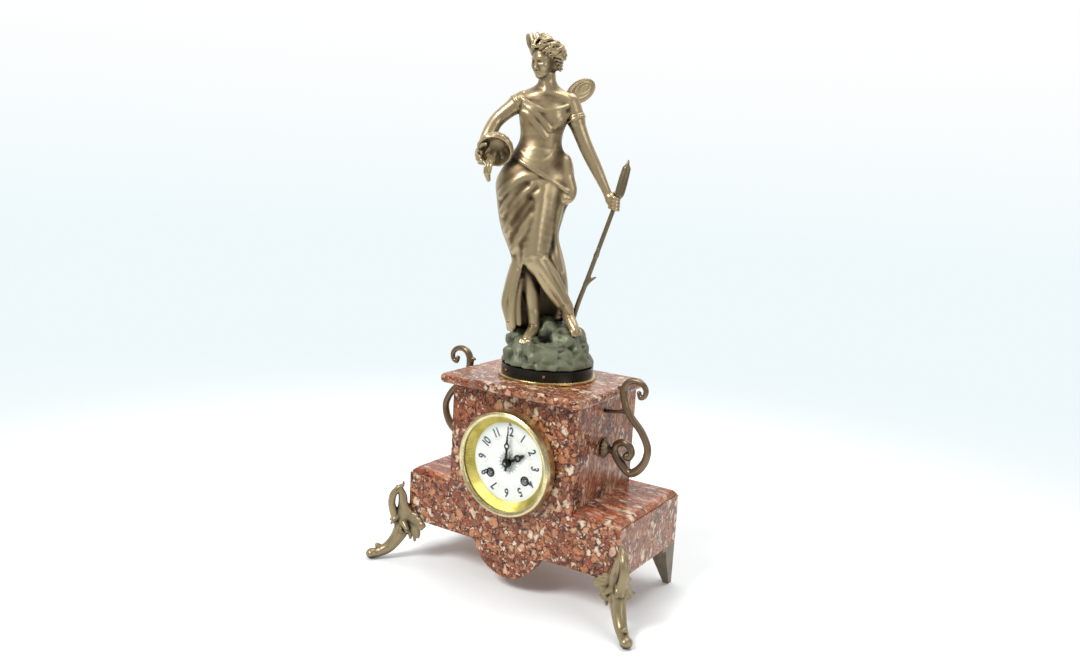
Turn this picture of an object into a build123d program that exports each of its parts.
from build123d import *

import math
import os

os.makedirs("parts", exist_ok=True)

# A mantel clock in a stepped marble case with a cast figure on top.
# Millimetres, +X to the right of the dial, +Y to the back, +Z up, floor at z = 0.

# Marble case
plinth_width = 265.0
plinth_depth = 136.0
plinth_height = 54.0
foot_height = 47.0
tower_width = 154.0
tower_depth = 125.0
tower_height = 114.0
front_thickness = 14.0
wall = 12.0
floor_thickness = 7.0
shoulder_thickness = 6.0
shoulder_inset = 1.5
shoulder_bevel = 4.0
slab_width = 174.0
slab_thickness = 9.5
slab_front_overhang = 16.0
slab_back_overhang = 3.0
slab_corner = 8.0
slab_round = 4.2
lobe_radius = 41.0
lobe_drop = 32.5
lobe_fillet = 9.0

# Feet, handles and their fixings
foot_reach = 47.0
toe_ball_radius = 6.8
stud_radius = 2.0
stud_clearance = 0.2
nut_flats = 7.0
nut_height = 3.0

# Dial, bezel and movement
dial_height = 142.5
dial_radius = 44.5
dial_sight_radius = 42.4
dial_thickness = 1.2
dial_front = -4.0
bezel_radius = 56.0
bezel_depth = 13.2
seat_radius = 49.7
seat_wall = 3.2
seat_flange = 2.5
panel_hole_clearance = 0.3
winding_spread = 43.0
winding_drop = 15.5
plate_radius = 43.0
plate_thickness = 2.0
plate_gap = 34.0
front_plate_depth = 6.0
running = 0.05
part_gap = 0.3
cut_overrun = 1.0

# Wheel teeth
pressure_angle = math.radians(30)
addendum_share = 0.7
dedendum_share = 1.0
thinning_share = 0.2
great_module = 0.6
second_module = 0.45
third_module = 0.34
escape_module = 0.36
motion_module = 0.4
barrel_teeth = 48
barrel_pinion_leaves = 10
second_teeth = 64
centre_leaves = 8
centre_teeth = 84
third_leaves = 7
third_teeth = 72
escape_leaves = 6
escape_teeth = 38
cannon_teeth = 15
minute_teeth = 45
minute_leaves = 12
hour_teeth = 48

# Figure
figure_height = 356.0
figure_turn = 32.0
figure_setback = 62.0
socle_radius = 49.5
socle_height = 14.0
ring_radius = 52.5
ring_height = 3.2
bolt_radius = 4.0

# Places worked out from the sizes above
toe_out = (foot_reach - toe_ball_radius) / math.sqrt(2) + toe_ball_radius
front_y = (toe_out - plinth_depth) / 2
back_y = front_y + plinth_depth
plinth_top = foot_height + plinth_height
shoulder_top = plinth_top + shoulder_thickness
tower_top = plinth_top + tower_height
slab_top = tower_top + slab_thickness
tower_back_y = front_y + tower_depth
tower_inner_x = tower_width / 2 - wall
plinth_inner_x = plinth_width / 2 - wall
figure_y = front_y + figure_setback
panel_hole_radius = seat_radius + panel_hole_clearance
back_plate_depth = front_plate_depth + plate_thickness + plate_gap
movement_back = back_plate_depth + plate_thickness
dial_back = dial_front + dial_thickness


def save(part, label):
    """Names a finished piece and writes it."""
    part.label = label
    export_step(part, f"parts/{label}.step")


def face_plane(depth):
    """Plane facing the viewer, with X right and Z up, at a depth behind the case's face."""
    return Plane(origin=(0, front_y + depth, 0), x_dir=(1, 0, 0), z_dir=(0, -1, 0))


def dial_plane(depth):
    """The same kind of plane, centred on the dial."""
    return Plane(origin=(0, front_y + depth, dial_height), x_dir=(1, 0, 0), z_dir=(0, -1, 0))


def turning_plane(x=0, z=0):
    """Plane holding an axis along Y at (x, z) from the dial's centre, as (depth, radius)."""
    return Plane(origin=(x, front_y, dial_height + z), x_dir=(0, 1, 0), z_dir=(1, 0, 0))


def turning_axis(x=0, z=0):
    """Axis along Y at (x, z) from the dial's centre."""
    return Axis((x, front_y, dial_height + z), (0, 1, 0))


def block(x0, x1, y0, y1, z0, z1):
    """A box between two corners, added to the part being built."""
    with Locations(((x0 + x1) / 2, (y0 + y1) / 2, (z0 + z1) / 2)):
        Box(abs(x1 - x0), abs(y1 - y0), abs(z1 - z0))


def rod(place, radius, start, end, mode=Mode.ADD):
    """A round bar along Y at a place on the dial plane, between two depths."""
    with BuildSketch(dial_plane(start)) as section:
        with Locations(place):
            Circle(radius)
    extrude(section.sketch, amount=start - end, mode=mode)


def limb(start, start_radius, end, end_radius):
    """A tapering round limb with a ball at its far end."""
    way = Vector(*end) - Vector(*start)
    with BuildSketch(Plane(origin=start, z_dir=way)) as root:
        Circle(start_radius)
    with BuildSketch(Plane(origin=end, z_dir=way)) as tip:
        Circle(end_radius)
    loft([root.sketch, tip.sketch])
    with Locations(end):
        Sphere(end_radius)


# Marble panels
with BuildPart() as front_panel:
    with BuildSketch(face_plane(0)) as outline:
        with Locations((0, foot_height)):
            Rectangle(plinth_width, plinth_height, align=(Align.CENTER, Align.MIN))
            Rectangle(tower_width, plinth_height + tower_height, align=(Align.CENTER, Align.MIN))
        with Locations((0, foot_height - lobe_drop + lobe_radius)):
            Circle(lobe_radius)
        waist = outline.vertices().filter_by(
            lambda v: abs(v.Y - foot_height) < stud_clearance and abs(v.X) < lobe_radius
        )
        fillet(waist, lobe_fillet)
        with Locations((0, dial_height)):
            Circle(panel_hole_radius, mode=Mode.SUBTRACT)
    extrude(amount=-front_thickness)
save(front_panel.part, "front_panel")

handle_setback = 55.0
handle_low_height = 160.0
handle_high_height = 202.0
handle_y = front_y + handle_setback

tower_back_hole = 42.0
back_hole_rise = 12.5
tower_panels = {}
for side, side_name in ((-1, "left"), (1, "right")):
    with BuildPart() as tower_panel:
        block(side * tower_inner_x, side * tower_width / 2, front_y + front_thickness, tower_back_y,
              shoulder_top, tower_top)
        for height in (handle_low_height, handle_high_height):
            with BuildSketch(Plane(origin=(0, handle_y, height), z_dir=(side, 0, 0))):
                Circle(stud_radius + stud_clearance)
            extrude(amount=tower_width, mode=Mode.SUBTRACT)
    tower_panels[side] = tower_panel.part
    save(tower_panel.part, f"{side_name}_tower_panel")

    with BuildPart() as plinth_panel:
        block(side * plinth_inner_x, side * plinth_width / 2, front_y + front_thickness, back_y,
              foot_height, plinth_top)
    save(plinth_panel.part, f"{side_name}_plinth_panel")

    shoulder_x = plinth_width / 2 - shoulder_inset
    with BuildPart() as shoulder:
        with BuildSketch(Plane.XY.offset(plinth_top)):
            with BuildLine():
                Polyline(
                    (side * tower_width / 2, front_y + shoulder_inset),
                    (side * shoulder_x, front_y + shoulder_inset),
                    (side * shoulder_x, back_y - shoulder_inset),
                    (0, back_y - shoulder_inset),
                    (0, tower_back_y - wall),
                    (side * tower_inner_x, tower_back_y - wall),
                    (side * tower_inner_x, front_y + front_thickness),
                    (side * tower_width / 2, front_y + front_thickness),
                    close=True,
                )
            make_face()
        extrude(amount=shoulder_thickness)
        top_edges = shoulder.faces().sort_by(Axis.Z)[-1].edges()
        bevelled = top_edges.filter_by(Axis.Y).sort_by(Axis.X)[-1 if side > 0 else 0]
        front_edge = top_edges.filter_by(Axis.X).sort_by(Axis.Y)[0]
        back_edge = top_edges.filter_by(Axis.X).sort_by(Axis.Y)[-1]
        chamfer([bevelled, front_edge, back_edge], shoulder_bevel)
    save(shoulder.part, f"{side_name}_shoulder")

with BuildPart() as tower_back_panel:
    block(-tower_inner_x, tower_inner_x, tower_back_y - wall, tower_back_y, shoulder_top, tower_top)
    rod((0, back_hole_rise), tower_back_hole, tower_depth - wall, tower_depth, Mode.SUBTRACT)
save(tower_back_panel.part, "tower_back_panel")

with BuildPart() as plinth_back_panel:
    block(-plinth_inner_x, plinth_inner_x, back_y - wall, back_y, foot_height, plinth_top)
save(plinth_back_panel.part, "plinth_back_panel")

# The feet's studs come up through the floor, in from each corner
foot_stud_inset = 22.0
foot_stud_places = [
    (side * (plinth_width / 2 - foot_stud_inset), y)
    for side in (-1, 1)
    for y in (front_y + foot_stud_inset, back_y - foot_stud_inset)
]
with BuildPart() as case_floor:
    block(-plinth_inner_x, plinth_inner_x, front_y + front_thickness, back_y - wall,
          foot_height, foot_height + floor_thickness)
    with BuildSketch(Plane.XY.offset(foot_height)):
        with Locations(*foot_stud_places):
            Circle(stud_radius + stud_clearance)
    extrude(amount=floor_thickness, mode=Mode.SUBTRACT)
save(case_floor.part, "case_floor")

with BuildPart() as top_slab:
    slab_front_y = front_y - slab_front_overhang
    slab_back_y = tower_back_y + slab_back_overhang
    with BuildSketch(Plane.XY.offset(tower_top)):
        with Locations((0, (slab_front_y + slab_back_y) / 2)):
            RectangleRounded(slab_width, slab_back_y - slab_front_y, slab_corner)
        with Locations((0, figure_y)):
            Circle(bolt_radius + stud_clearance, mode=Mode.SUBTRACT)
    extrude(amount=slab_thickness)
    rims = top_slab.faces().filter_by(Axis.Z)
    rim_edges = [face.outer_wire().edges() for face in rims]
    fillet([edge for edges in rim_edges for edge in edges], slab_round)
save(top_slab.part, "top_slab")

# Front feet: an S-shaped leg splayed out at 45 degrees, with a scroll loop and a ball toe
leg_width = 11.0
toe_knob_radius = 3.0
leaf_thickness = 2.4
leaf_width = 24.0
leaf_rise = 48.0
lug_thickness = 4.0
lug_width = 14.0
loop_width = 5.2
loop_height = 14.0
loop_out = 13.0
loop_up = 63.0
leg_outer_shares = (
    (0.03, 1.85), (0.26, 1.74), (0.48, 1.42), (0.35, 1.02), (0.30, 0.74), (0.42, 0.44), (0.66, 0.27),
)
leg_inner_shares = ((0.60, 0.06), (0.38, 0.13), (0.20, 0.31), (0.05, 0.60), (0.0, 0.95))


def scaled(shares, out, up):
    """Points from shares of a reach and a rise."""
    return [(share[0] * out, share[1] * up) for share in shares]


for side, side_name in ((-1, "left"), (1, "right")):
    corner = (side * plinth_width / 2, front_y)
    outward = (side, -1, 0)
    with BuildPart() as front_foot:
        leg_plane = Plane(origin=(*corner, 0), x_dir=outward, z_dir=(-1, -side, 0))
        with BuildSketch(leg_plane):
            with BuildLine():
                outer_line = Spline(*scaled(leg_outer_shares, foot_reach, foot_height))
                inner_line = Spline(*scaled(leg_inner_shares, foot_reach, foot_height))
                Line(outer_line @ 1, inner_line @ 0)
                Line(inner_line @ 1, outer_line @ 0)
            make_face()
            with Locations((loop_out, loop_up)):
                Ellipse(loop_width / 2, loop_height / 2, mode=Mode.SUBTRACT)
        extrude(amount=leg_width / 2, both=True)
        toe_place = leg_plane.from_local_coords((foot_reach - toe_ball_radius, toe_ball_radius, 0))
        knob_place = leg_plane.from_local_coords((foot_reach - 2 * toe_ball_radius, 2 * toe_ball_radius, 0))
        with Locations(toe_place):
            Sphere(toe_ball_radius)
        with Locations(knob_place):
            Sphere(toe_knob_radius)
        with BuildSketch(Plane.XY.offset(foot_height)):
            with BuildLine():
                Polyline(
                    (corner[0] + side * leaf_thickness, front_y - leaf_thickness),
                    (corner[0] - side * leaf_width, front_y - leaf_thickness),
                    (corner[0] - side * leaf_width, front_y),
                    corner,
                    (corner[0], front_y + leaf_width),
                    (corner[0] + side * leaf_thickness, front_y + leaf_width),
                    close=True,
                )
            make_face()
        with BuildSketch(Plane.XY.offset(foot_height + leaf_rise)):
            with BuildLine():
                Polyline(
                    (corner[0] + side * leaf_thickness, front_y - leaf_thickness),
                    (corner[0] - side * leaf_thickness, front_y - leaf_thickness),
                    (corner[0] - side * leaf_thickness, front_y),
                    corner,
                    (corner[0], front_y + leaf_thickness),
                    (corner[0] + side * leaf_thickness, front_y + leaf_thickness),
                    close=True,
                )
            make_face()
        loft(ruled=True)
        with BuildSketch(Plane.XY.offset(foot_height - lug_thickness)):
            lug_length = foot_stud_inset * math.sqrt(2) + lug_width / 2
            lug_turn = math.degrees(math.atan2(1, -side))
            with Locations(Location((corner[0], front_y), lug_turn)):
                Rectangle(lug_length, lug_width, align=(Align.MIN, Align.CENTER))
        extrude(amount=lug_thickness)
        with BuildSketch(Plane.XY.offset(foot_height - cut_overrun)):
            with Locations((side * (plinth_width / 2 - foot_stud_inset), front_y + foot_stud_inset)):
                Circle(stud_radius)
        extrude(amount=cut_overrun + floor_thickness + nut_height + cut_overrun)
        for panel_box in (front_panel.part, case_floor.part):
            add(panel_box, mode=Mode.SUBTRACT)
    save(front_foot.part, f"front_{side_name}_foot")

# Back feet: plain tapering brackets under the back corners
bracket_top = 22.0
bracket_tip = 7.0
for side, side_name in ((-1, "left"), (1, "right")):
    with BuildPart() as back_foot:
        for level, width in ((foot_height - lug_thickness, bracket_top), (0, bracket_tip)):
            with BuildSketch(Plane.XY.offset(level)):
                with Locations((side * (plinth_width - width) / 2, back_y - width / 2)):
                    Rectangle(width, width)
        loft()
        lug_reach = foot_stud_inset + lug_width / 2
        block(side * (plinth_width / 2 - lug_reach), side * plinth_width / 2, back_y - lug_reach, back_y,
              foot_height - lug_thickness, foot_height)
        with BuildSketch(Plane.XY.offset(foot_height - cut_overrun)):
            with Locations((side * (plinth_width / 2 - foot_stud_inset), back_y - foot_stud_inset)):
                Circle(stud_radius)
        extrude(amount=cut_overrun + floor_thickness + nut_height + cut_overrun)
    save(back_foot.part, f"back_{side_name}_foot")

# Side handles: an S stroke with a curled top and a C scroll that returns to the tower's wall
handle_radius = 3.2
handle_pad_radius = 7.0
handle_pad_thickness = 3.0
handle_slab_gap = 6.94
handle_rise = 101.0
handle_foot = 139.0
waist_share = 0.38
slab_side_overhang = (slab_width - tower_width) / 2
handle_span = (slab_side_overhang + handle_slab_gap + handle_radius) / waist_share
stroke_shares = (
    (0.74, 0.86), (0.87, 0.91), (0.69, 1.0), (0.53, 1.0), (waist_share, 0.86), (0.44, 0.71),
    (0.60, 0.59), (0.84, 0.47), (1.0, 0.31), (0.95, 0.19), (0.69, 0.0),
)
stroke_radius_shares = (0.05, 0.07, 0.05, 0.12, 0.16, 0.2, 0.3, 0.2, 0.14)
scroll_shares = (
    (0.69, 0.0), (0.58, 0.13), (0.72, 0.29), (0.58, 0.36), (0.40, 0.36), (0.20, 0.21), (0.03, 0.21),
)
thorn_share = tuple((first + second) / 2 for first, second in zip(stroke_shares[5], stroke_shares[6]))
scroll_radius_shares = (0.1, 0.07, 0.07, 0.1, 0.07)


def handle_points(shares):
    """Points out from the tower's wall and up from the handle's foot."""
    return [(share[0] * handle_span, share[1] * handle_rise) for share in shares]


for side, side_name in ((-1, "left"), (1, "right")):
    wall_x = side * tower_width / 2
    with BuildPart() as handle:
        handle_plane = Plane(
            origin=(wall_x, handle_y, handle_foot), x_dir=(side, 0, 0), z_dir=(0, -side, 0)
        )
        for shares, radii in ((stroke_shares, stroke_radius_shares), (scroll_shares, scroll_radius_shares)):
            with BuildLine(handle_plane) as stroke:
                FilletPolyline(*handle_points(shares), radius=[share * handle_rise for share in radii])
            with BuildSketch(Plane(origin=stroke.line @ 0, z_dir=stroke.line % 0)):
                Circle(handle_radius)
            sweep(path=stroke.line)
            for end in (0, 1):
                with Locations(stroke.line @ end):
                    Sphere(handle_radius)
        thorn_height = handle_high_height - handle_foot
        thorn_end = handle_points([thorn_share])[0]
        limb_start = handle_plane.from_local_coords((handle_pad_thickness / 2, thorn_height, 0))
        limb_end = handle_plane.from_local_coords((*thorn_end, 0))
        limb(limb_start, stud_radius, limb_end, handle_radius)
        for height in (handle_low_height, handle_high_height):
            with BuildSketch(Plane(origin=(wall_x, handle_y, height), z_dir=(side, 0, 0))):
                Circle(handle_pad_radius)
            extrude(amount=handle_pad_thickness)
            with BuildSketch(Plane(origin=(wall_x, handle_y, height), z_dir=(-side, 0, 0))):
                Circle(stud_radius)
            extrude(amount=wall + nut_height + cut_overrun)
        add(tower_panels[side], mode=Mode.SUBTRACT)
    save(handle.part, f"{side_name}_handle")

# Figure: all places are shares of its height, right and up as the viewer sees it and towards the viewer
figure_plane = Plane(
    origin=(0, figure_y, slab_top),
    x_dir=(math.cos(math.radians(figure_turn)), math.sin(math.radians(figure_turn)), 0),
    z_dir=(0, 0, 1),
)


def figure_point(right_share, near_share, up_share):
    """A point of the figure in the clock's frame."""
    local = (right_share * figure_height, -near_share * figure_height, up_share * figure_height)
    return figure_plane.from_local_coords(local)


def figure_loft(rows, ruled=False):
    """A body through flat ellipses: up, right, near, half width and half depth shares."""
    sections = []
    for up_share, right_share, near_share, width_share, depth_share in rows:
        with BuildSketch(figure_plane.offset(up_share * figure_height)) as section:
            with Locations((right_share * figure_height, -near_share * figure_height)):
                Ellipse(width_share * figure_height, depth_share * figure_height)
        sections.append(section.sketch)
    loft(sections, ruled=ruled)


def figure_limb(start, end):
    """A limb between two rows of right, near, up and radius shares."""
    limb(figure_point(*start[:3]), start[3] * figure_height, figure_point(*end[:3]), end[3] * figure_height)


bolt_head_radius = 8.0
bolt_head_height = 5.0
bolt_grip = 10.0
with BuildPart() as figure_bolt:
    with BuildSketch(Plane(origin=(0, figure_y, tower_top - bolt_head_height))):
        RegularPolygon(bolt_head_radius, 6)
    extrude(amount=bolt_head_height)
    with BuildSketch(Plane(origin=(0, figure_y, tower_top))):
        Circle(bolt_radius)
    extrude(amount=slab_thickness + socle_height + bolt_grip)
save(figure_bolt.part, "figure_bolt")

with BuildPart() as base_ring:
    with BuildSketch(Plane(origin=(0, figure_y, slab_top))):
        Circle(ring_radius)
        Circle(bolt_radius + stud_clearance, mode=Mode.SUBTRACT)
    extrude(amount=ring_height)
    fillet(base_ring.edges().filter_by(GeomType.CIRCLE).sort_by(SortBy.RADIUS)[-2:], ring_height / 3)
save(base_ring.part, "base_ring")

with BuildPart() as socle:
    with BuildSketch(Plane(origin=(0, figure_y, slab_top + ring_height))):
        Circle(socle_radius)
        Circle(bolt_radius + stud_clearance, mode=Mode.SUBTRACT)
    extrude(amount=socle_height - ring_height)
save(socle.part, "socle")

rock_rows = (
    (socle_height / figure_height, 0.0, 0.0, 0.136, 0.136),
    (0.075, -0.005, 0.0, 0.126, 0.130),
    (0.11, -0.006, 0.0, 0.115, 0.118),
    (0.135, 0.015, 0.0, 0.088, 0.09),
)
with BuildPart() as rock:
    figure_loft(rock_rows)
    with BuildSketch(Plane(origin=(0, figure_y, slab_top + socle_height))):
        Circle(bolt_radius)
    extrude(amount=bolt_grip, mode=Mode.SUBTRACT)
save(rock.part, "rock")

skirt_rows = (
    (0.125, -0.062, -0.03, 0.060, 0.050),
    (0.19, -0.050, -0.015, 0.082, 0.066),
    (0.25, -0.038, 0.0, 0.086, 0.066),
    (0.345, -0.045, 0.015, 0.079, 0.064),
    (0.435, -0.072, 0.015, 0.083, 0.069),
    (0.55, -0.070, 0.0, 0.107, 0.078),
    (0.60, -0.068, -0.005, 0.101, 0.074),
    (0.694, -0.058, 0.0, 0.060, 0.048),
)
torso_rows = (
    (0.694, -0.058, 0.0, 0.060, 0.048),
    (0.757, -0.053, 0.010, 0.066, 0.056),
    (0.790, -0.051, 0.008, 0.072, 0.052),
    (0.820, -0.050, -0.005, 0.080, 0.038),
)
neck_rows = (
    (0.820, -0.050, -0.005, 0.080, 0.038),
    (0.840, -0.042, -0.010, 0.046, 0.034),
    (0.855, -0.042, -0.008, 0.030, 0.028),
    (0.880, -0.048, -0.003, 0.028, 0.026),
)
head_rows = (
    (0.868, -0.060, 0.004, 0.026, 0.025),
    (0.890, -0.060, 0.004, 0.043, 0.042),
    (0.925, -0.058, 0.0, 0.052, 0.050),
    (0.955, -0.056, -0.003, 0.049, 0.048),
    (0.978, -0.056, -0.006, 0.030, 0.029),
)
near_shin = ((-0.050, 0.045, 0.31, 0.030), (-0.044, 0.035, 0.17, 0.017))
near_foot = ((-0.044, 0.035, 0.165, 0.018), (-0.066, 0.085, 0.125, 0.014))
far_shin = ((0.015, 0.045, 0.32, 0.030), (0.049, 0.030, 0.21, 0.018))
far_foot = ((0.049, 0.035, 0.205, 0.018), (0.075, 0.075, 0.152, 0.014))
bun_place = (-0.05, -0.015, 0.972, 0.024)
tuft_place = (-0.008, -0.02, 0.925, 0.018)
with BuildPart() as figure_body:
    figure_loft(skirt_rows)
    figure_loft(torso_rows, ruled=True)
    figure_loft(neck_rows, ruled=True)
    figure_loft(head_rows)
    for shin in (near_shin, near_foot, far_shin, far_foot):
        figure_limb(*shin)
    for ball in (bun_place, tuft_place):
        with Locations(figure_point(*ball[:3])):
            Sphere(ball[3] * figure_height)
    add(rock.part, mode=Mode.SUBTRACT)
save(figure_body.part, "figure_body")

bowl_radius_share = 0.052
bowl_wall_share = 0.007
bowl_centre_shares = (-0.185, 0.07, 0.655)
bowl_lift = -20.0
bowl_side_turn = 10.0
bowl_radius = bowl_radius_share * figure_height
bowl_centre = figure_point(*bowl_centre_shares)
bowl_heading = math.radians(figure_turn - 90 + bowl_side_turn)
bowl_way = Vector(
    math.cos(bowl_heading) * math.cos(math.radians(bowl_lift)),
    math.sin(bowl_heading) * math.cos(math.radians(bowl_lift)),
    math.sin(math.radians(bowl_lift)),
)
with BuildPart() as bowl:
    with Locations(bowl_centre):
        Sphere(bowl_radius)
        Sphere(bowl_radius * (1 - bowl_wall_share * figure_height / bowl_radius), mode=Mode.SUBTRACT)
    split(bisect_by=Plane(origin=bowl_centre, z_dir=bowl_way), keep=Keep.BOTTOM)
save(bowl.part, "bowl")

right_upper_arm = ((-0.112, 0.0, 0.808, 0.030), (-0.185, 0.0, 0.745, 0.023))
right_forearm = ((-0.185, 0.0, 0.745, 0.023), (-0.205, 0.035, 0.67, 0.016))
with BuildPart() as right_arm:
    figure_limb(*right_upper_arm)
    figure_limb(*right_forearm)
    add(figure_body.part, mode=Mode.SUBTRACT)
    with Locations(bowl_centre):
        Sphere(bowl_radius, mode=Mode.SUBTRACT)
save(right_arm.part, "right_arm")

staff_foot = (0.080, 0.0, 0.115, 0.008)
staff_neck = (0.176, 0.045, 0.555, 0.0065)
cattail_top = (0.192, 0.048, 0.63, 0.011)
cattail_tip = (0.196, 0.049, 0.652, 0.004)
with BuildPart() as cattail:
    figure_limb(staff_foot, staff_neck)
    figure_limb((*staff_neck[:3], cattail_top[3]), cattail_top)
    figure_limb(cattail_top, cattail_tip)
    add(rock.part, mode=Mode.SUBTRACT)
    add(figure_body.part, mode=Mode.SUBTRACT)
save(cattail.part, "cattail")

left_upper_arm = ((0.018, -0.005, 0.805, 0.030), (0.070, 0.0, 0.68, 0.022))
left_forearm = ((0.070, 0.0, 0.68, 0.022), (0.148, 0.035, 0.56, 0.013))
left_hand = ((0.148, 0.035, 0.56, 0.014), (0.160, 0.042, 0.515, 0.014))
with BuildPart() as left_arm:
    for limb_rows in (left_upper_arm, left_forearm, left_hand):
        figure_limb(*limb_rows)
    add(figure_body.part, mode=Mode.SUBTRACT)
    add(cattail.part, mode=Mode.SUBTRACT)
save(left_arm.part, "left_arm")

wing_thickness = 2.6
wing_root_shares = (-0.045, -0.03, 0.81)
wing_length_share = 0.15
wing_width_share = 0.06
wing_rise = 14.0
wing_turns = (-35.0, -94.0)
with BuildPart() as wings:
    for turn in wing_turns:
        root = figure_point(*wing_root_shares)
        heading = math.radians(figure_turn - turn)
        along = (math.cos(heading), math.sin(heading), math.tan(math.radians(wing_rise)))
        across = (-math.sin(heading), math.cos(heading), 0)
        wing_plane = Plane(origin=root, x_dir=along, z_dir=across)
        wing_length = wing_length_share * figure_height
        with BuildSketch(wing_plane):
            with Locations((wing_length / 2, 0)):
                Ellipse(wing_length / 2, wing_width_share * figure_height / 2)
        extrude(amount=wing_thickness / 2, both=True)
    add(figure_body.part, mode=Mode.SUBTRACT)
    add(left_arm.part, mode=Mode.SUBTRACT)
save(wings.part, "wings")

# Dial side: a fixed seat lines the panel's hole, and the glazed bezel swings on its left edge
seat_depth = 12.0
seat_inner = seat_radius - seat_wall
seat_rim = 54.0
rest_inner = 38.0
rest_thickness = 1.5
bezel_back = -seat_flange - part_gap
bezel_front = bezel_back - bezel_depth
bezel_inner = 52.6
bezel_lip_inner = 49.8
bezel_lip = 2.3
glass_radius = 51.1
glass_thickness = 1.3
glass_clearance = 0.1
hinge_out = 58.3
hinge_depth = -3.3
knuckle_radius = 2.0
knuckle_half = 4.0
knuckle_outer = 9.0
pin_radius = 0.8
strap_width = 8.0
strap_thickness = 1.8
strap_foot = 18.0
strap_stud_inset = 14.0
regulator_rise = 40.3
regulator_hole = 1.7
ring_lug_depth = tower_depth - wall - 2 * plate_thickness
strap_end = ring_lug_depth
strap_radius = seat_inner


def knuckle(x, depth, low, high, radius, mode=Mode.ADD):
    """A hinge barrel standing upright beside the dial, between two heights from its centre."""
    with BuildSketch(Plane(origin=(x, front_y + depth, dial_height + low))) as section:
        Circle(radius)
    extrude(section.sketch, amount=high - low, mode=mode)


with BuildPart() as bezel_seat:
    with BuildSketch(turning_plane()):
        with BuildLine():
            Polyline(
                (-seat_flange, seat_inner), (-seat_flange, seat_rim), (0, seat_rim), (0, seat_radius),
                (seat_depth, seat_radius), (seat_depth, seat_inner),
                (front_plate_depth, seat_inner), (front_plate_depth, rest_inner),
                (front_plate_depth - rest_thickness, rest_inner),
                (front_plate_depth - rest_thickness, seat_inner), close=True,
            )
        make_face()
    revolve(axis=turning_axis())
    for low, high in ((knuckle_half + part_gap, knuckle_outer), (-knuckle_outer, -knuckle_half - part_gap)):
        block(-hinge_out, -seat_radius, front_y - seat_flange, front_y, dial_height + low, dial_height + high)
        knuckle(-hinge_out, hinge_depth, low, high, knuckle_radius)
    knuckle(-hinge_out, hinge_depth, -knuckle_outer, knuckle_outer, pin_radius, Mode.SUBTRACT)
    for side in (-1, 1):
        block(side * strap_radius, side * (strap_radius + strap_thickness), front_y + front_plate_depth,
              front_y + strap_end, dial_height - strap_width / 2, dial_height + strap_width / 2)
        block(side * (strap_radius - strap_foot), side * (strap_radius + strap_thickness),
              front_y + strap_end - strap_thickness, front_y + strap_end,
              dial_height - strap_width / 2, dial_height + strap_width / 2)
        stud_x = side * (strap_radius - strap_stud_inset)
        rod((stud_x, 0), stud_radius, strap_end, strap_end + plate_thickness + nut_height + cut_overrun)
    rod((0, regulator_rise), regulator_hole, front_plate_depth - rest_thickness, front_plate_depth,
        Mode.SUBTRACT)
save(bezel_seat.part, "bezel_seat")

with BuildPart() as bezel:
    bezel_width = bezel_radius - bezel_inner
    glass_front = bezel_front + bezel_lip
    rebate_radius = glass_radius + glass_clearance
    rebate_end = glass_front + glass_thickness + glass_clearance
    with BuildSketch(turning_plane()):
        with BuildLine():
            Polyline(
                (bezel_back, bezel_inner), (bezel_back, bezel_radius),
                (bezel_front + 2 * bezel_lip, bezel_radius),
                (bezel_front + bezel_lip / 2, bezel_radius - bezel_width / 3),
                (bezel_front, bezel_radius - bezel_width),
                (bezel_front + bezel_lip / 3, bezel_lip_inner + glass_thickness / 2),
                (glass_front, bezel_lip_inner), (glass_front, rebate_radius),
                (rebate_end, rebate_radius), (rebate_end, bezel_inner), close=True,
            )
        make_face()
    revolve(axis=turning_axis())
    lug_height = 2 * knuckle_half
    block(-hinge_out, -bezel_radius + bezel_width / 2, front_y + hinge_depth - knuckle_radius,
          front_y + bezel_back, dial_height - lug_height / 2, dial_height + lug_height / 2)
    knuckle(-hinge_out, hinge_depth, -knuckle_half, knuckle_half, knuckle_radius)
    knuckle(-hinge_out, hinge_depth, -knuckle_half, knuckle_half, pin_radius + running, Mode.SUBTRACT)
save(bezel.part, "bezel")

with BuildPart() as glass:
    rod((0, 0), glass_radius, glass_front, glass_front + glass_thickness)
save(glass.part, "glass")

sight_outer = bezel_inner - 2 * part_gap
sight_front = -10.8
sight_thickness = 1.6
with BuildPart() as sight_ring:
    with BuildSketch(turning_plane()):
        with BuildLine():
            Polyline(
                (sight_front, sight_outer), (sight_front, sight_outer - sight_thickness),
                (dial_front - sight_thickness / 2, dial_sight_radius), (dial_front, dial_sight_radius),
                (dial_front, dial_radius), (sight_front + sight_thickness, sight_outer), close=True,
            )
        make_face()
    revolve(axis=turning_axis())
save(sight_ring.part, "sight_ring")

winding_places = {-1: (-winding_spread / 2, -winding_drop), 1: (winding_spread / 2, -winding_drop)}
winding_hole = 3.2
centre_hole = 3.2
dial_foot_radius = 1.2
dial_foot_ring = 35.5
dial_foot_turns = (30, 150, 270)
with BuildPart() as dial:
    rod((0, 0), dial_radius, dial_front, dial_back)
    for turn in dial_foot_turns:
        place = (dial_foot_ring * math.cos(math.radians(turn)), dial_foot_ring * math.sin(math.radians(turn)))
        rod(place, dial_foot_radius, dial_back, front_plate_depth)
    rod((0, 0), centre_hole, dial_front, dial_back, Mode.SUBTRACT)
    for place in winding_places.values():
        rod(place, winding_hole, dial_front, dial_back, Mode.SUBTRACT)
    rod((0, regulator_rise), regulator_hole, dial_front, dial_back, Mode.SUBTRACT)
save(dial.part, "dial")


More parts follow.
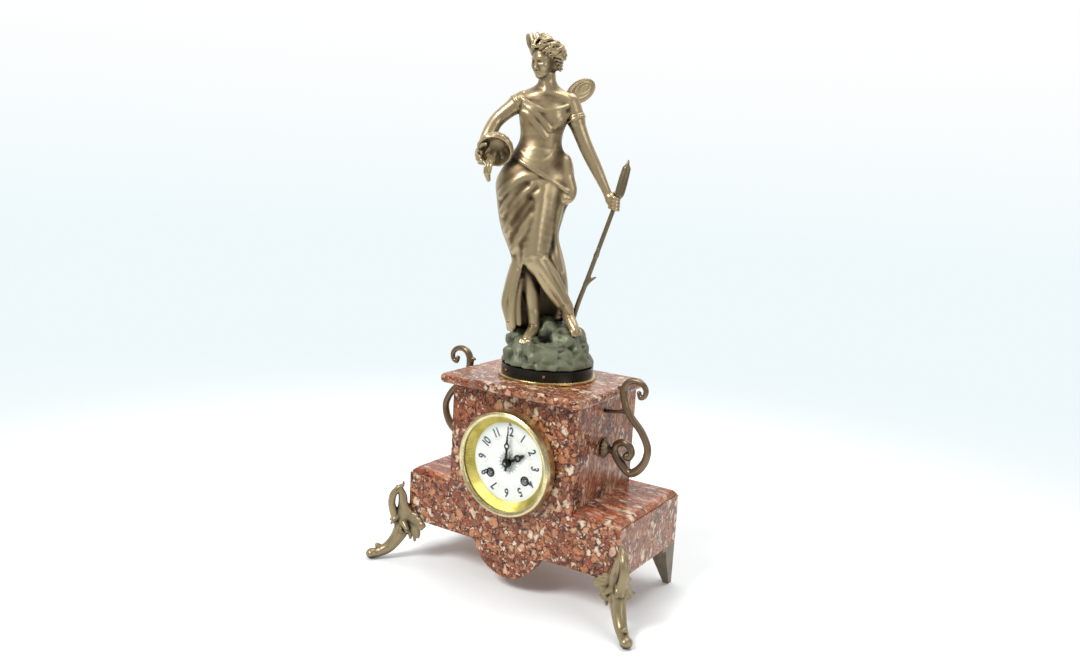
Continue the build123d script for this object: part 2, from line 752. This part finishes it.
# Wheelwork
def gear_points(teeth, module, phase):
    """Corner points of a wheel with involute teeth, flanks in short straight facets."""
    pitch = teeth * module / 2
    base = pitch * math.cos(pressure_angle)
    tip = pitch + addendum_share * module
    root = pitch - dedendum_share * module
    flank = max(root, base)
    half_tooth = (math.pi / 2 - thinning_share / 2) / teeth
    involute = math.tan(pressure_angle) - pressure_angle

    def half_angle(radius):
        lean = math.acos(min(1.0, base / radius))
        return half_tooth + involute - (math.tan(lean) - lean)

    radii = [flank, (flank + tip) / 2, tip]
    if root < flank:
        radii.insert(0, root)
    angles = [half_angle(max(radius, flank)) for radius in radii]
    rise = list(zip(radii, [-angle for angle in angles]))
    fall = list(zip(reversed(radii), reversed(angles)))
    points = []
    for tooth in range(teeth):
        middle = phase + 2 * math.pi * tooth / teeth
        points += [(r * math.cos(middle + a), r * math.sin(middle + a)) for r, a in rise + fall]
    return points


def mesh_phase(driver_place, driver_teeth, driver_phase, place, teeth):
    """Tooth angle that puts a wheel's gap on its neighbour's tooth."""
    line = math.atan2(place[1] - driver_place[1], place[0] - driver_place[0])
    turn = driver_teeth * (line - driver_phase) / (2 * math.pi)
    return line + math.pi - 2 * math.pi / teeth * (0.5 - turn)


def meet(a, a_distance, b, b_distance, side):
    """The point at given distances from two others, on one side of the line between them."""
    span = math.dist(a, b)
    along = (a_distance**2 - b_distance**2 + span**2) / (2 * span)
    off = side * math.sqrt(a_distance**2 - along**2)
    ux, uz = (b[0] - a[0]) / span, (b[1] - a[1]) / span
    return (a[0] + along * ux - off * uz, a[1] + along * uz + off * ux)


def mesh_distance(teeth, leaves, module):
    """Distance between the centres of two meshing wheels."""
    return (teeth + leaves) * module / 2


def gear(place, teeth, module, phase, start, end):
    """A toothed disc at a place on the dial plane, between two depths."""
    with BuildSketch(dial_plane(start)) as section:
        with BuildLine() as rim:
            corners = gear_points(teeth, module, phase)
            Polyline(*[(place[0] + x, place[1] + z) for x, z in corners], close=True)
        make_face(rim.edges())
    extrude(section.sketch, amount=start - end)


arbor_radius = 0.7
stout_arbor_radius = 1.0
pivot_radius = 0.5
arbor_start = front_plate_depth + plate_thickness + part_gap
arbor_end = back_plate_depth - part_gap


def arbor(place, radius, pivot):
    """A wheel's shaft between the plates, with a thinner pivot through each plate."""
    rod(place, radius, arbor_start, arbor_end)
    rod(place, pivot, front_plate_depth, movement_back)


cross_ring_share = 0.59
cross_hole_share = 0.236
cross_holes = 5


def around(place, radius, turn):
    """A point on a circle round a place on the dial plane."""
    return (place[0] + radius * math.cos(turn), place[1] + radius * math.sin(turn))


def lighten(place, radius, start, end):
    """Round holes that cross out a wheel."""
    for step in range(cross_holes):
        hole_place = around(place, cross_ring_share * radius, 2 * math.pi * step / cross_holes)
        rod(hole_place, cross_hole_share * radius, start, end, Mode.SUBTRACT)


centre_place = (0.0, 0.0)
going_place = winding_places[1]
strike_place = winding_places[-1]
barrel_reach = mesh_distance(barrel_teeth, barrel_pinion_leaves, great_module)
second_reach = mesh_distance(second_teeth, centre_leaves, second_module)
third_reach = mesh_distance(centre_teeth, third_leaves, third_module)
escape_reach = mesh_distance(third_teeth, escape_leaves, escape_module)
motion_reach = mesh_distance(minute_teeth, cannon_teeth, motion_module)
pallet_rise = 36.0
pallet_drop = 13.9
escape_place = (0.0, pallet_rise - pallet_drop)
pallet_place = (0.0, pallet_rise)
intermediate_place = meet(centre_place, second_reach, going_place, barrel_reach, -1)
third_place = meet(centre_place, third_reach, escape_place, escape_reach, -1)
strike_wheel_turn = math.radians(110)
strike_wheel_place = around(strike_place, barrel_reach, strike_wheel_turn)
motion_turn = math.radians(30)
minute_wheel_place = around(centre_place, motion_reach, motion_turn)
hammer_place = (-11.0, 14.5)

# Layers between the plates, as depths behind the case's face
great_gap = 1.5
great_thickness = 2.0
drum_length = 18.5
second_thickness = 1.2
centre_gap = 2.3
centre_thickness = 1.0
third_gap = 2.4
third_thickness = 0.8
escape_setback = 6.0
escape_thickness = 1.2
leaf_overlap = 0.3
great_start = front_plate_depth + plate_thickness + great_gap
great_end = great_start + great_thickness
drum_end = great_end + drum_length
second_start = drum_end + great_gap
second_end = second_start + second_thickness
centre_start = second_end + centre_gap
centre_end = centre_start + centre_thickness
third_start = centre_end + third_gap
third_end = third_start + third_thickness
escape_start = front_plate_depth + plate_thickness + escape_setback
escape_end = escape_start + escape_thickness

drum_radius = 13.2
drum_wall = 1.2
winding_arbor_radius = 2.0
winding_square = 3.2
ratchet_radius = 7.0
ratchet_teeth = 20
ratchet_gap = 0.6
ratchet_thickness = 1.8
square_setback = 0.4
ratchet_end = front_plate_depth - ratchet_gap
ratchet_start = ratchet_end - ratchet_thickness
square_front = dial_front + square_setback
for place, train_name in ((going_place, "going"), (strike_place, "strike")):
    with BuildPart() as barrel:
        gear(place, barrel_teeth, great_module, 0, great_start, great_end)
        rod(place, drum_radius, great_end, drum_end)
        rod(place, drum_radius - drum_wall, great_end, drum_end - drum_wall, Mode.SUBTRACT)
        rod(place, winding_arbor_radius + running, great_start, drum_end, Mode.SUBTRACT)
    save(barrel.part, f"{train_name}_barrel")

    with BuildPart() as winding_arbor:
        rod(place, winding_arbor_radius, ratchet_start, movement_back)
        with BuildSketch(dial_plane(square_front)):
            with Locations(place):
                Rectangle(winding_square, winding_square)
        extrude(amount=square_front - ratchet_start)
        with BuildSketch(dial_plane(ratchet_start)):
            with BuildLine():
                steps = [2 * math.pi * tooth / ratchet_teeth for tooth in range(ratchet_teeth)]
                inner = ratchet_radius * (1 - math.pi / ratchet_teeth)
                saw = []
                for step in steps:
                    saw += [around(place, ratchet_radius, step), around(place, inner, step)]
                Polyline(*saw, close=True)
            make_face()
        extrude(amount=ratchet_start - ratchet_end)
    save(winding_arbor.part, f"{train_name}_arbor")

going_phase = mesh_phase(going_place, barrel_teeth, 0, intermediate_place, barrel_pinion_leaves)
with BuildPart() as intermediate_wheel:
    arbor(intermediate_place, stout_arbor_radius, pivot_radius)
    gear(intermediate_place, barrel_pinion_leaves, great_module, going_phase,
         great_start - leaf_overlap, great_end + leaf_overlap)
    gear(intermediate_place, second_teeth, second_module, 0, second_start, second_end)
    lighten(intermediate_place, second_teeth * second_module / 2, second_start, second_end)
save(intermediate_wheel.part, "intermediate_wheel")

centre_arbor_radius = 1.0
hand_nut_front = -10.8
centre_phase = mesh_phase(intermediate_place, second_teeth, 0, centre_place, centre_leaves)
with BuildPart() as centre_wheel:
    rod(centre_place, centre_arbor_radius, hand_nut_front, arbor_end)
    rod(centre_place, pivot_radius, arbor_end, movement_back)
    gear(centre_place, centre_leaves, second_module, centre_phase,
         second_start - leaf_overlap, second_end + leaf_overlap)
    gear(centre_place, centre_teeth, third_module, 0, centre_start, centre_end)
    lighten(centre_place, centre_teeth * third_module / 2, centre_start, centre_end)
save(centre_wheel.part, "centre_wheel")

third_phase = mesh_phase(centre_place, centre_teeth, 0, third_place, third_leaves)
with BuildPart() as third_wheel:
    arbor(third_place, arbor_radius, pivot_radius)
    gear(third_place, third_leaves, third_module, third_phase,
         centre_start - leaf_overlap, centre_end + leaf_overlap)
    gear(third_place, third_teeth, escape_module, 0, third_start, third_end)
    lighten(third_place, third_teeth * escape_module / 2, third_start, third_end)
save(third_wheel.part, "third_wheel")

escape_radius = 9.0
escape_root = 7.2
escape_phase = mesh_phase(third_place, third_teeth, 0, escape_place, escape_leaves)
with BuildPart() as escape_wheel:
    arbor(escape_place, arbor_radius, pivot_radius)
    gear(escape_place, escape_leaves, escape_module, escape_phase,
         third_start - leaf_overlap, third_end + leaf_overlap)
    with BuildSketch(dial_plane(escape_start)):
        with BuildLine():
            saw = []
            for tooth in range(escape_teeth):
                tip_turn = 2 * math.pi * tooth / escape_teeth
                gap_turn = tip_turn - math.pi / escape_teeth
                saw.append(around(escape_place, escape_root, gap_turn))
                saw.append(around(escape_place, escape_radius, tip_turn))
            Polyline(*saw, close=True)
        make_face()
    extrude(amount=escape_start - escape_end)
    lighten(escape_place, escape_root, escape_start, escape_end)
save(escape_wheel.part, "escape_wheel")

strike_phase = mesh_phase(strike_place, barrel_teeth, 0, strike_wheel_place, barrel_pinion_leaves)
lift_pins = 8
lift_pin_ring = 11.0
lift_pin_radius = 0.6
lift_pin_length = 3.0
with BuildPart() as strike_wheel:
    arbor(strike_wheel_place, stout_arbor_radius, pivot_radius)
    gear(strike_wheel_place, barrel_pinion_leaves, great_module, strike_phase,
         great_start - leaf_overlap, great_end + leaf_overlap)
    gear(strike_wheel_place, second_teeth, second_module, 0, second_start, second_end)
    for pin in range(lift_pins):
        pin_place = around(strike_wheel_place, lift_pin_ring, 2 * math.pi * pin / lift_pins)
        rod(pin_place, lift_pin_radius, second_end, second_end + lift_pin_length)
save(strike_wheel.part, "strike_wheel")

# Escapement, pendulum and regulator
pallet_gap = 0.95
pallet_depth = 1.5
pad_angles = (46, 53)
pallet_hub = 2.4
arbor_hole_spare = 0.8
crutch_gap = 1.2
crutch_start = movement_back + crutch_gap
crutch_thickness = 1.5
crutch_half = 1.2
crutch_drop = 27.0
fork_height = 3.0
fork_wall = 1.2
pendulum_depth = 55.0
rod_radius = 1.2
fork_gap = 0.5
cock_setback = 4.0
cock_start = movement_back + cock_setback
cock_end = cock_start + plate_thickness


def around_escape(radius, degrees):
    """A point round the escape wheel, measured from straight up."""
    turn = math.radians(degrees)
    return (escape_place[0] + radius * math.sin(turn), escape_place[1] + radius * math.cos(turn))


with BuildPart() as pallets:
    rod(pallet_place, arbor_radius, arbor_start, cock_start - part_gap)
    rod(pallet_place, pivot_radius, front_plate_depth, cock_end)
    pad_inner = escape_radius + pallet_gap
    for side in (-1, 1):
        with BuildSketch(dial_plane(escape_start - leaf_overlap)):
            with BuildLine():
                Polyline(
                    (0, pallet_rise + pallet_hub / 2),
                    around_escape(pad_inner + 2 * pallet_depth, side * pad_angles[1]),
                    around_escape(pad_inner, side * pad_angles[1]),
                    around_escape(pad_inner, side * pad_angles[0]),
                    around_escape(pad_inner + pallet_depth, side * pad_angles[0]),
                    (0, pallet_rise - pallet_hub / 2),
                    close=True,
                )
            make_face()
        extrude(amount=escape_start - escape_end - 2 * leaf_overlap)
    rod(pallet_place, pallet_hub, escape_start - leaf_overlap, escape_end + leaf_overlap)
    fork_z = dial_height + pallet_rise - crutch_drop
    block(-crutch_half, crutch_half, front_y + crutch_start, front_y + crutch_start + crutch_thickness,
          fork_z, dial_height + pallet_rise + crutch_half)
    fork_inner = rod_radius + fork_gap
    block(-fork_inner - fork_wall, fork_inner + fork_wall, front_y + crutch_start,
          front_y + crutch_start + crutch_thickness, fork_z, fork_z + fork_height)
    for side in (-1, 1):
        block(side * fork_inner, side * (fork_inner + fork_wall), front_y + crutch_start,
              front_y + pendulum_depth + 2 * rod_radius, fork_z, fork_z + fork_height)
save(pallets.part, "pallets")

spring_half = 2.5
spring_thickness = 0.4
spring_top = 2.3
spring_drop = 5.0
hook_height = 4.0
hook_half = 3.0
bob_radius = 15.0
bob_thickness = 9.0
bob_height = 76.0
rating_nut_radius = 3.5
rod_tail = 1.5
pivot_z = dial_height + pallet_rise
with BuildPart() as pendulum_rod:
    pendulum_y = front_y + pendulum_depth
    block(-spring_half, spring_half, pendulum_y - spring_thickness / 2, pendulum_y + spring_thickness / 2,
          pivot_z - spring_drop, pivot_z + spring_top)
    block(-hook_half, hook_half, pendulum_y - hook_half / 2, pendulum_y + hook_half / 2,
          pivot_z - spring_drop - hook_height, pivot_z - spring_drop)
    nut_low = bob_height - bob_radius - nut_height
    with BuildSketch(Plane(origin=(0, pendulum_y, nut_low - rod_tail))):
        Circle(rod_radius)
    extrude(amount=pivot_z - spring_drop - hook_height - nut_low + rod_tail)
    with BuildSketch(Plane(origin=(0, pendulum_y, nut_low))):
        Circle(rating_nut_radius)
    extrude(amount=nut_height)
save(pendulum_rod.part, "pendulum_rod")

bob_bevel = 3.0
with BuildPart() as pendulum_bob:
    bob_start = pendulum_depth - bob_thickness / 2
    rod((0, bob_height - dial_height), bob_radius, bob_start, bob_start + bob_thickness)
    chamfer(pendulum_bob.edges().filter_by(GeomType.CIRCLE), bob_bevel)
    with BuildSketch(Plane(origin=(0, pendulum_y, nut_low))):
        Circle(rod_radius)
    extrude(amount=2 * (bob_radius + nut_height), mode=Mode.SUBTRACT)
save(pendulum_bob.part, "pendulum_bob")

regulator_radius = 0.9
regulator_square = 1.8
regulator_collar = 2.2
collar_thickness = 1.5
regulator_place = (0.0, regulator_rise)
with BuildPart() as regulator:
    with BuildSketch(dial_plane(square_front)):
        with Locations(regulator_place):
            Rectangle(regulator_square, regulator_square)
    extrude(amount=square_front - front_plate_depth / 2)
    rod(regulator_place, regulator_radius, front_plate_depth / 2, cock_end - part_gap)
    rod(regulator_place, regulator_collar, arbor_start, arbor_start + collar_thickness)
save(regulator.part, "regulator")

cock_half = 12.5
cock_foot = 3.5
cock_low = 30.0
cock_foot_top = 40.0
cock_high = 43.5
post_half = 3.0
post_length = 9.0
with BuildPart() as back_cock:
    block(-cock_half, cock_half, front_y + cock_start, front_y + cock_end,
          dial_height + cock_low, dial_height + cock_high)
    for side in (-1, 1):
        block(side * (cock_half - cock_foot), side * cock_half, front_y + movement_back, front_y + cock_start,
              dial_height + cock_low, dial_height + cock_foot_top)
    block(-post_half, post_half, front_y + cock_end, front_y + cock_end + post_length,
          pivot_z + spring_top + part_gap, dial_height + cock_high)
    rod(pallet_place, pivot_radius + running, cock_start, cock_end, Mode.SUBTRACT)
    rod(regulator_place, regulator_radius + running, cock_start, cock_end, Mode.SUBTRACT)
save(back_cock.part, "back_cock")

# Motion work behind the dial, and the hands
cannon_gap = 1.6
cannon_thickness = 1.4
cannon_end = front_plate_depth - cannon_gap
cannon_start = cannon_end - cannon_thickness
cannon_wall = 0.65
cannon_front = -9.0
cannon_radius = centre_arbor_radius + running + cannon_wall
pipe_clearance = 0.08
pipe_wall = 0.72
pipe_radius = cannon_radius + pipe_clearance + pipe_wall
pipe_front = -7.0
leaf_margin = 0.2
minute_start = cannon_start + leaf_margin
minute_end = cannon_end - leaf_margin
hour_gap = 3.8
hour_end = front_plate_depth - hour_gap
hour_start = hour_end - cannon_thickness
post_radius = 0.9
with BuildPart() as cannon_pinion:
    gear(centre_place, cannon_teeth, motion_module, 0, cannon_start, cannon_end)
    rod(centre_place, cannon_radius, cannon_front, cannon_start)
    rod(centre_place, centre_arbor_radius + running, cannon_front, cannon_end, Mode.SUBTRACT)
save(cannon_pinion.part, "cannon_pinion")

minute_phase = mesh_phase(centre_place, cannon_teeth, 0, minute_wheel_place, minute_teeth)
with BuildPart() as minute_wheel:
    gear(minute_wheel_place, minute_teeth, motion_module, minute_phase, minute_start, minute_end)
    gear(minute_wheel_place, minute_leaves, motion_module, 0, hour_start - leaf_overlap, minute_start)
    rod(minute_wheel_place, post_radius + running, hour_start - leaf_overlap, minute_end, Mode.SUBTRACT)
save(minute_wheel.part, "minute_wheel")

hour_phase = mesh_phase(minute_wheel_place, minute_leaves, 0, centre_place, hour_teeth)
with BuildPart() as hour_wheel:
    gear(centre_place, hour_teeth, motion_module, hour_phase, hour_start, hour_end)
    rod(centre_place, pipe_radius, pipe_front, hour_start)
    rod(centre_place, cannon_radius + pipe_clearance, pipe_front, hour_end, Mode.SUBTRACT)
save(hour_wheel.part, "hour_wheel")

hand_thickness = 0.8
hand_step = 0.2
minute_length = 33.0
hour_length = 24.0
hand_boss = 5.0
loop_rim = 1.0
minute_loop = 2.6
minute_loop_share = 0.66
hour_loop = 3.4
hour_loop_share = 0.62
hour_turn = 60.0


def hand(length, bore, loop_radius, loop_share, turn, front):
    """A pierced pointer with a round boss and an open loop, turned clockwise from twelve."""
    heading = math.radians(turn)

    def at(aside, out):
        x = aside * math.cos(heading) + out * math.sin(heading)
        return (x, out * math.cos(heading) - aside * math.sin(heading))

    with BuildSketch(dial_plane(front)) as section:
        Circle(hand_boss)
        with BuildLine() as pointer:
            Polyline(at(-loop_rim, 0), at(-loop_rim / 2, length * loop_share), at(0, length),
                     at(loop_rim / 2, length * loop_share), at(loop_rim, 0), close=True)
        make_face(pointer.edges())
        with Locations(at(0, length * loop_share)):
            Circle(loop_radius)
            Circle(loop_radius - loop_rim, mode=Mode.SUBTRACT)
        Circle(bore, mode=Mode.SUBTRACT)
    extrude(section.sketch, amount=-hand_thickness)


with BuildPart() as minute_hand:
    hand(minute_length, cannon_radius, minute_loop, minute_loop_share, 0, cannon_front + hand_step)
save(minute_hand.part, "minute_hand")

with BuildPart() as hour_hand:
    hand(hour_length, pipe_radius, hour_loop, hour_loop_share, hour_turn, pipe_front + hand_step)
save(hour_hand.part, "hour_hand")

hand_nut_radius = 2.4
with BuildPart() as hand_nut:
    rod(centre_place, hand_nut_radius, hand_nut_front + hand_step, cannon_front - running)
    rod(centre_place, centre_arbor_radius, hand_nut_front, cannon_front, Mode.SUBTRACT)
save(hand_nut.part, "hand_nut")

# Movement plates, with the pillars and the bell's post riveted to the back one
pillar_radius = 3.0
spigot_radius = 1.8
pillar_places = ((-32.0, 22.0), (32.0, 22.0), (-9.0, -38.0), (9.0, -38.0))
bell_place = (16.0, -14.0)
bell_radius = 30.0
bell_wall = 1.6
bell_mouth = 66.0
bell_height = 22.0
shoulder_share = 0.72
bell_crown = bell_mouth + bell_height - bell_wall
bell_post_radius = 4.0
hammer_arbor_radius = 0.9
wheel_pivots = (intermediate_place, third_place, escape_place, strike_wheel_place)
with BuildPart() as front_plate:
    rod((0, 0), plate_radius, front_plate_depth, front_plate_depth + plate_thickness)
    plate_span = (front_plate_depth, front_plate_depth + plate_thickness, Mode.SUBTRACT)
    rod(centre_place, centre_arbor_radius + running, *plate_span)
    rod(regulator_place, regulator_radius + running, *plate_span)
    for place in winding_places.values():
        rod(place, winding_arbor_radius + running, *plate_span)
    for place in (*wheel_pivots, pallet_place, hammer_place):
        rod(place, pivot_radius + running, *plate_span)
    for place in pillar_places:
        rod(place, spigot_radius, *plate_span)
    rod(minute_wheel_place, post_radius, hour_start - 2 * leaf_overlap, front_plate_depth)
save(front_plate.part, "front_plate")

with BuildPart() as back_plate:
    rod((0, 0), plate_radius, back_plate_depth, movement_back)
    plate_span = (back_plate_depth, movement_back, Mode.SUBTRACT)
    for place in (*wheel_pivots, centre_place):
        rod(place, pivot_radius + running, *plate_span)
    rod(regulator_place, regulator_radius + running, *plate_span)
    rod(hammer_place, hammer_arbor_radius + running, *plate_span)
    rod(pallet_place, arbor_radius + arbor_hole_spare, *plate_span)
    for place in winding_places.values():
        rod(place, winding_arbor_radius + running, *plate_span)
    for place in pillar_places:
        rod(place, pillar_radius, front_plate_depth + plate_thickness, back_plate_depth)
        rod(place, spigot_radius, front_plate_depth, front_plate_depth + plate_thickness)
    rod(bell_place, bell_post_radius, movement_back, bell_crown)
    rod(bell_place, stud_radius, bell_crown, bell_crown + bell_wall + nut_height + cut_overrun)
save(back_plate.part, "back_plate")

with BuildPart() as bell:
    with BuildSketch(turning_plane(*bell_place)):
        with BuildLine():
            outer_mid = (bell_mouth + shoulder_share * bell_height, shoulder_share * bell_radius)
            inner_mid = (outer_mid[0] - bell_wall, outer_mid[1] - bell_wall / 2)
            hole = stud_radius + stud_clearance
            ThreePointArc((bell_mouth, bell_radius), outer_mid, (bell_mouth + bell_height, bell_post_radius))
            Polyline((bell_mouth + bell_height, bell_post_radius), (bell_mouth + bell_height, hole),
                     (bell_crown, hole), (bell_crown, bell_post_radius))
            ThreePointArc((bell_crown, bell_post_radius), inner_mid, (bell_mouth, bell_radius - bell_wall))
            Line((bell_mouth, bell_radius - bell_wall), (bell_mouth, bell_radius))
        make_face()
    revolve(axis=turning_axis(*bell_place))
save(bell.part, "bell")

hammer_head_radius = 3.2
hammer_head_length = 7.0
hammer_gap = 0.8
hammer_arm = 2.4
hammer_setback = 2.5
hammer_thickness = 2.0
tail_gap = 0.8
tail_thickness = 1.4
hammer_start = bell_mouth + hammer_setback
hammer_end = hammer_start + hammer_thickness
tail_start = second_end + tail_gap
tail_end = tail_start + tail_thickness
head_place = (bell_place[0] - bell_radius - hammer_gap - hammer_head_radius, bell_place[1])


def bar(start, end, width, front, back):
    """A flat bar between two places on the dial plane, between two depths."""
    middle = ((start[0] + end[0]) / 2, (start[1] + end[1]) / 2)
    turn = math.degrees(math.atan2(end[1] - start[1], end[0] - start[0]))
    with BuildSketch(dial_plane(front)) as section:
        with Locations(Location(middle, turn)):
            Rectangle(math.dist(start, end), width)
    extrude(section.sketch, amount=front - back)


with BuildPart() as hammer:
    rod(hammer_place, hammer_arbor_radius, arbor_start, hammer_end)
    rod(hammer_place, pivot_radius, front_plate_depth, arbor_start)
    bar(hammer_place, head_place, hammer_arm, hammer_start, hammer_end)
    rod(hammer_place, hammer_arm, hammer_start, hammer_end)
    rod(head_place, hammer_head_radius, bell_mouth, bell_mouth + hammer_head_length)
    pin_reach = math.dist(hammer_place, strike_wheel_place)
    tail_share = 1 - (lift_pin_ring + lift_pin_radius + 2 * part_gap) / pin_reach
    tail_tip = (hammer_place[0] + tail_share * (strike_wheel_place[0] - hammer_place[0]),
                hammer_place[1] + tail_share * (strike_wheel_place[1] - hammer_place[1]))
    bar(hammer_place, tail_tip, hammer_arm, tail_start, tail_end)
save(hammer.part, "hammer")

# Back ring and its hinged door, set above the plinth's ledge
back_ring_radius = tower_back_hole - panel_hole_clearance
back_ring_wall = 2.2
back_rim = 45.5
back_rim_thickness = 1.6
ring_lug_half = 5.0
door_radius = 43.5
door_thickness = 1.5
door_hinge_out = 49.8
door_knob_radius = 3.0
door_knob_length = 4.6
door_knob_out = 34.0
door_start = tower_depth + back_rim_thickness + part_gap
door_hinge_depth = door_start + door_thickness / 2
tube_inner = back_ring_radius - back_ring_wall
lug_end = ring_lug_depth + plate_thickness
rim_end = tower_depth + back_rim_thickness
door_z = dial_height + back_hole_rise
strap_stud_x = strap_radius - strap_stud_inset
with BuildPart() as back_ring:
    with BuildSketch(turning_plane(0, back_hole_rise)):
        with BuildLine():
            Polyline(
                (ring_lug_depth, tube_inner), (ring_lug_depth, back_ring_radius),
                (tower_depth, back_ring_radius), (tower_depth, back_rim),
                (rim_end, back_rim), (rim_end, tube_inner), close=True,
            )
        make_face()
    revolve(axis=turning_axis(0, back_hole_rise))
    lug_outer = math.sqrt(tube_inner**2 - back_hole_rise**2) + back_ring_wall / 2
    for side in (-1, 1):
        block(side * (strap_stud_x - ring_lug_half), side * lug_outer, front_y + ring_lug_depth,
              front_y + lug_end, dial_height - ring_lug_half, dial_height + ring_lug_half)
        rod((side * strap_stud_x, 0), stud_radius + stud_clearance, ring_lug_depth, lug_end, Mode.SUBTRACT)
    for low, high in ((knuckle_half + part_gap, knuckle_outer), (-knuckle_outer, -knuckle_half - part_gap)):
        block(back_ring_radius, door_hinge_out, tower_back_y, front_y + rim_end, door_z + low, door_z + high)
        knuckle(door_hinge_out, door_hinge_depth, back_hole_rise + low, back_hole_rise + high, knuckle_radius)
    knuckle(door_hinge_out, door_hinge_depth, back_hole_rise - knuckle_outer, back_hole_rise + knuckle_outer,
            pin_radius, Mode.SUBTRACT)
save(back_ring.part, "back_ring")

with BuildPart() as back_door:
    door_back = door_start + door_thickness
    rod((0, back_hole_rise), door_radius, door_start, door_back)
    block(door_radius - knuckle_half, door_hinge_out, front_y + door_start, front_y + door_back,
          door_z - knuckle_half, door_z + knuckle_half)
    barrel_span = (back_hole_rise - knuckle_half, back_hole_rise + knuckle_half)
    knuckle(door_hinge_out, door_hinge_depth, *barrel_span, knuckle_radius)
    knuckle(door_hinge_out, door_hinge_depth, *barrel_span, pin_radius + running, Mode.SUBTRACT)
    rod((-door_knob_out, back_hole_rise), door_knob_radius, door_back, door_back + door_knob_length)
save(back_door.part, "back_door")

with BuildPart() as hinge_pins:
    for x, depth, rise in ((-hinge_out, hinge_depth, 0), (door_hinge_out, door_hinge_depth, back_hole_rise)):
        knuckle(x, depth, rise - knuckle_outer, rise + knuckle_outer, pin_radius)
save(hinge_pins.part, "hinge_pins")

# One kind of nut holds the feet, the handles, the movement's straps and the bell
nut_planes = [Plane(origin=(*place, foot_height + floor_thickness)) for place in foot_stud_places]
for side in (-1, 1):
    for height in (handle_low_height, handle_high_height):
        nut_planes.append(Plane(origin=(side * tower_inner_x, handle_y, height), z_dir=(-side, 0, 0)))
    nut_planes.append(Plane(
        origin=(side * strap_stud_x, front_y + lug_end, dial_height), z_dir=(0, 1, 0)
    ))
nut_planes.append(Plane(
    origin=(bell_place[0], front_y + bell_crown + bell_wall, dial_height + bell_place[1]), z_dir=(0, 1, 0)
))
with BuildPart() as fixing_nuts:
    for nut_plane in nut_planes:
        with BuildSketch(nut_plane):
            RegularPolygon(nut_flats / math.sqrt(3), 6)
            Circle(stud_radius, mode=Mode.SUBTRACT)
        extrude(amount=nut_height)
save(fixing_nuts.part, "fixing_nuts")
